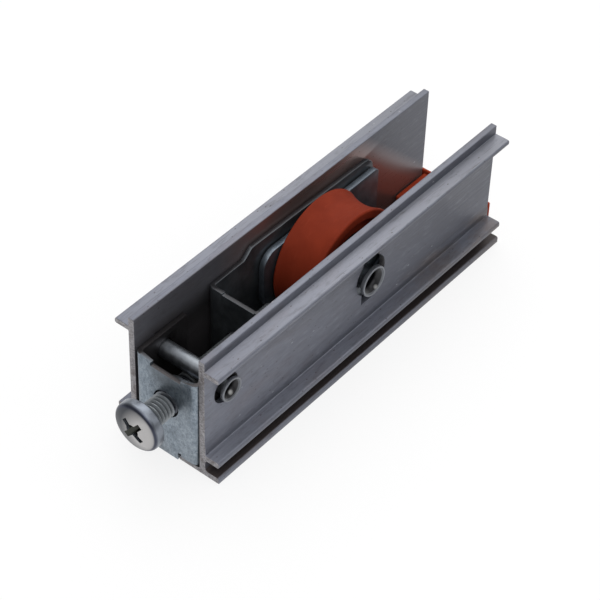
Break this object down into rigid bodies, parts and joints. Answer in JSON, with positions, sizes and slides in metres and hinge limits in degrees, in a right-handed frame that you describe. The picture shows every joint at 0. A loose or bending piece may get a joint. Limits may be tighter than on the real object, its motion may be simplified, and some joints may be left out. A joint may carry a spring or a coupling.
{
  "type": "sliding door roller",
  "caption": "Height-adjustable sliding door roller: a grooved nylon wheel on a ball bearing in a flanged aluminium channel, raised by turning the pan-head screw at one end.",
  "frame": {"origin": "middle of the underside of the aluminium channel", "axes": "+X along the channel away from the screw head, +Z from the floor to the open side, +Y to the left wall seen from the screw head"},
  "size_m": [0.0922, 0.0232, 0.0272],
  "materials": {
    "mill_aluminium": "satin as extruded, sawn ends",
    "galvanised_sheet": "galvanised, mottled",
    "zinc_screw": "bright zinc plate",
    "zinc_sheet": "zinc plate, satin",
    "rivet_steel": "bright",
    "wheel_nylon": "moulded, satin",
    "cap_nylon": "moulded, satin",
    "bearing_steel": "ground",
    "cage_polymer": "moulded"
  },
  "bodies": {
    "housing": {"housing": "mill_aluminium", "front_bracket": "galvanised_sheet", "bracket_pin": "rivet_steel", "end_cap": "cap_nylon"},
    "screw": {"adjusting_screw": "zinc_screw", "screw_collar": "zinc_screw"},
    "carriage": {"carriage": "zinc_sheet"},
    "axle_fork": {"wheel_fork": "zinc_sheet", "wheel_axle": "rivet_steel", "bearing_inner_ring": "bearing_steel", "axle_spacer_left": "rivet_steel", "axle_spacer_right": "rivet_steel"},
    "wheel_set": {"wheel": "wheel_nylon", "bearing_outer_ring": "bearing_steel", "bearing_shield_left": "bearing_steel", "bearing_shield_right": "bearing_steel"},
    "ball_cage": {"bearing_cage": "cage_polymer", "bearing_ball_1": "bearing_steel", "bearing_ball_2": "bearing_steel", "bearing_ball_3": "bearing_steel", "bearing_ball_4": "bearing_steel", "bearing_ball_5": "bearing_steel", "bearing_ball_6": "bearing_steel", "bearing_ball_7": "bearing_steel"}
  },
  "joints": [
    {"name": "screw_turn", "type": "hinge", "parent": "housing", "child": "screw", "pos_m": [-0.0416, 0, 0.01245], "axis": [1, 0, 0], "range_deg": [0, 2340]},
    {"name": "carriage_slide", "type": "slide", "parent": "housing", "child": "carriage", "axis": [-1, 0, 0], "range_m": [0, 0.0052]},
    {"name": "wheel_lift", "type": "slide", "parent": "housing", "child": "axle_fork", "axis": [0, 0, 1], "range_m": [0, 0.003]},
    {"name": "wheel_spin", "type": "hinge", "parent": "axle_fork", "child": "wheel_set", "pos_m": [0.00405, 0, 0.0143], "axis": [0, 1, 0], "continuous": true},
    {"name": "cage_spin", "type": "hinge", "parent": "axle_fork", "child": "ball_cage", "pos_m": [0.00405, 0, 0.0143], "axis": [0, 1, 0], "continuous": true}
  ],
  "couplings": [
    {"joint": "screw_turn", "follows": "carriage_slide", "rad_per_m": 7853.9},
    {"joint": "wheel_lift", "follows": "carriage_slide", "ratio": 0.57692},
    {"joint": "cage_spin", "follows": "wheel_spin", "ratio": 0.65238}
  ]
}
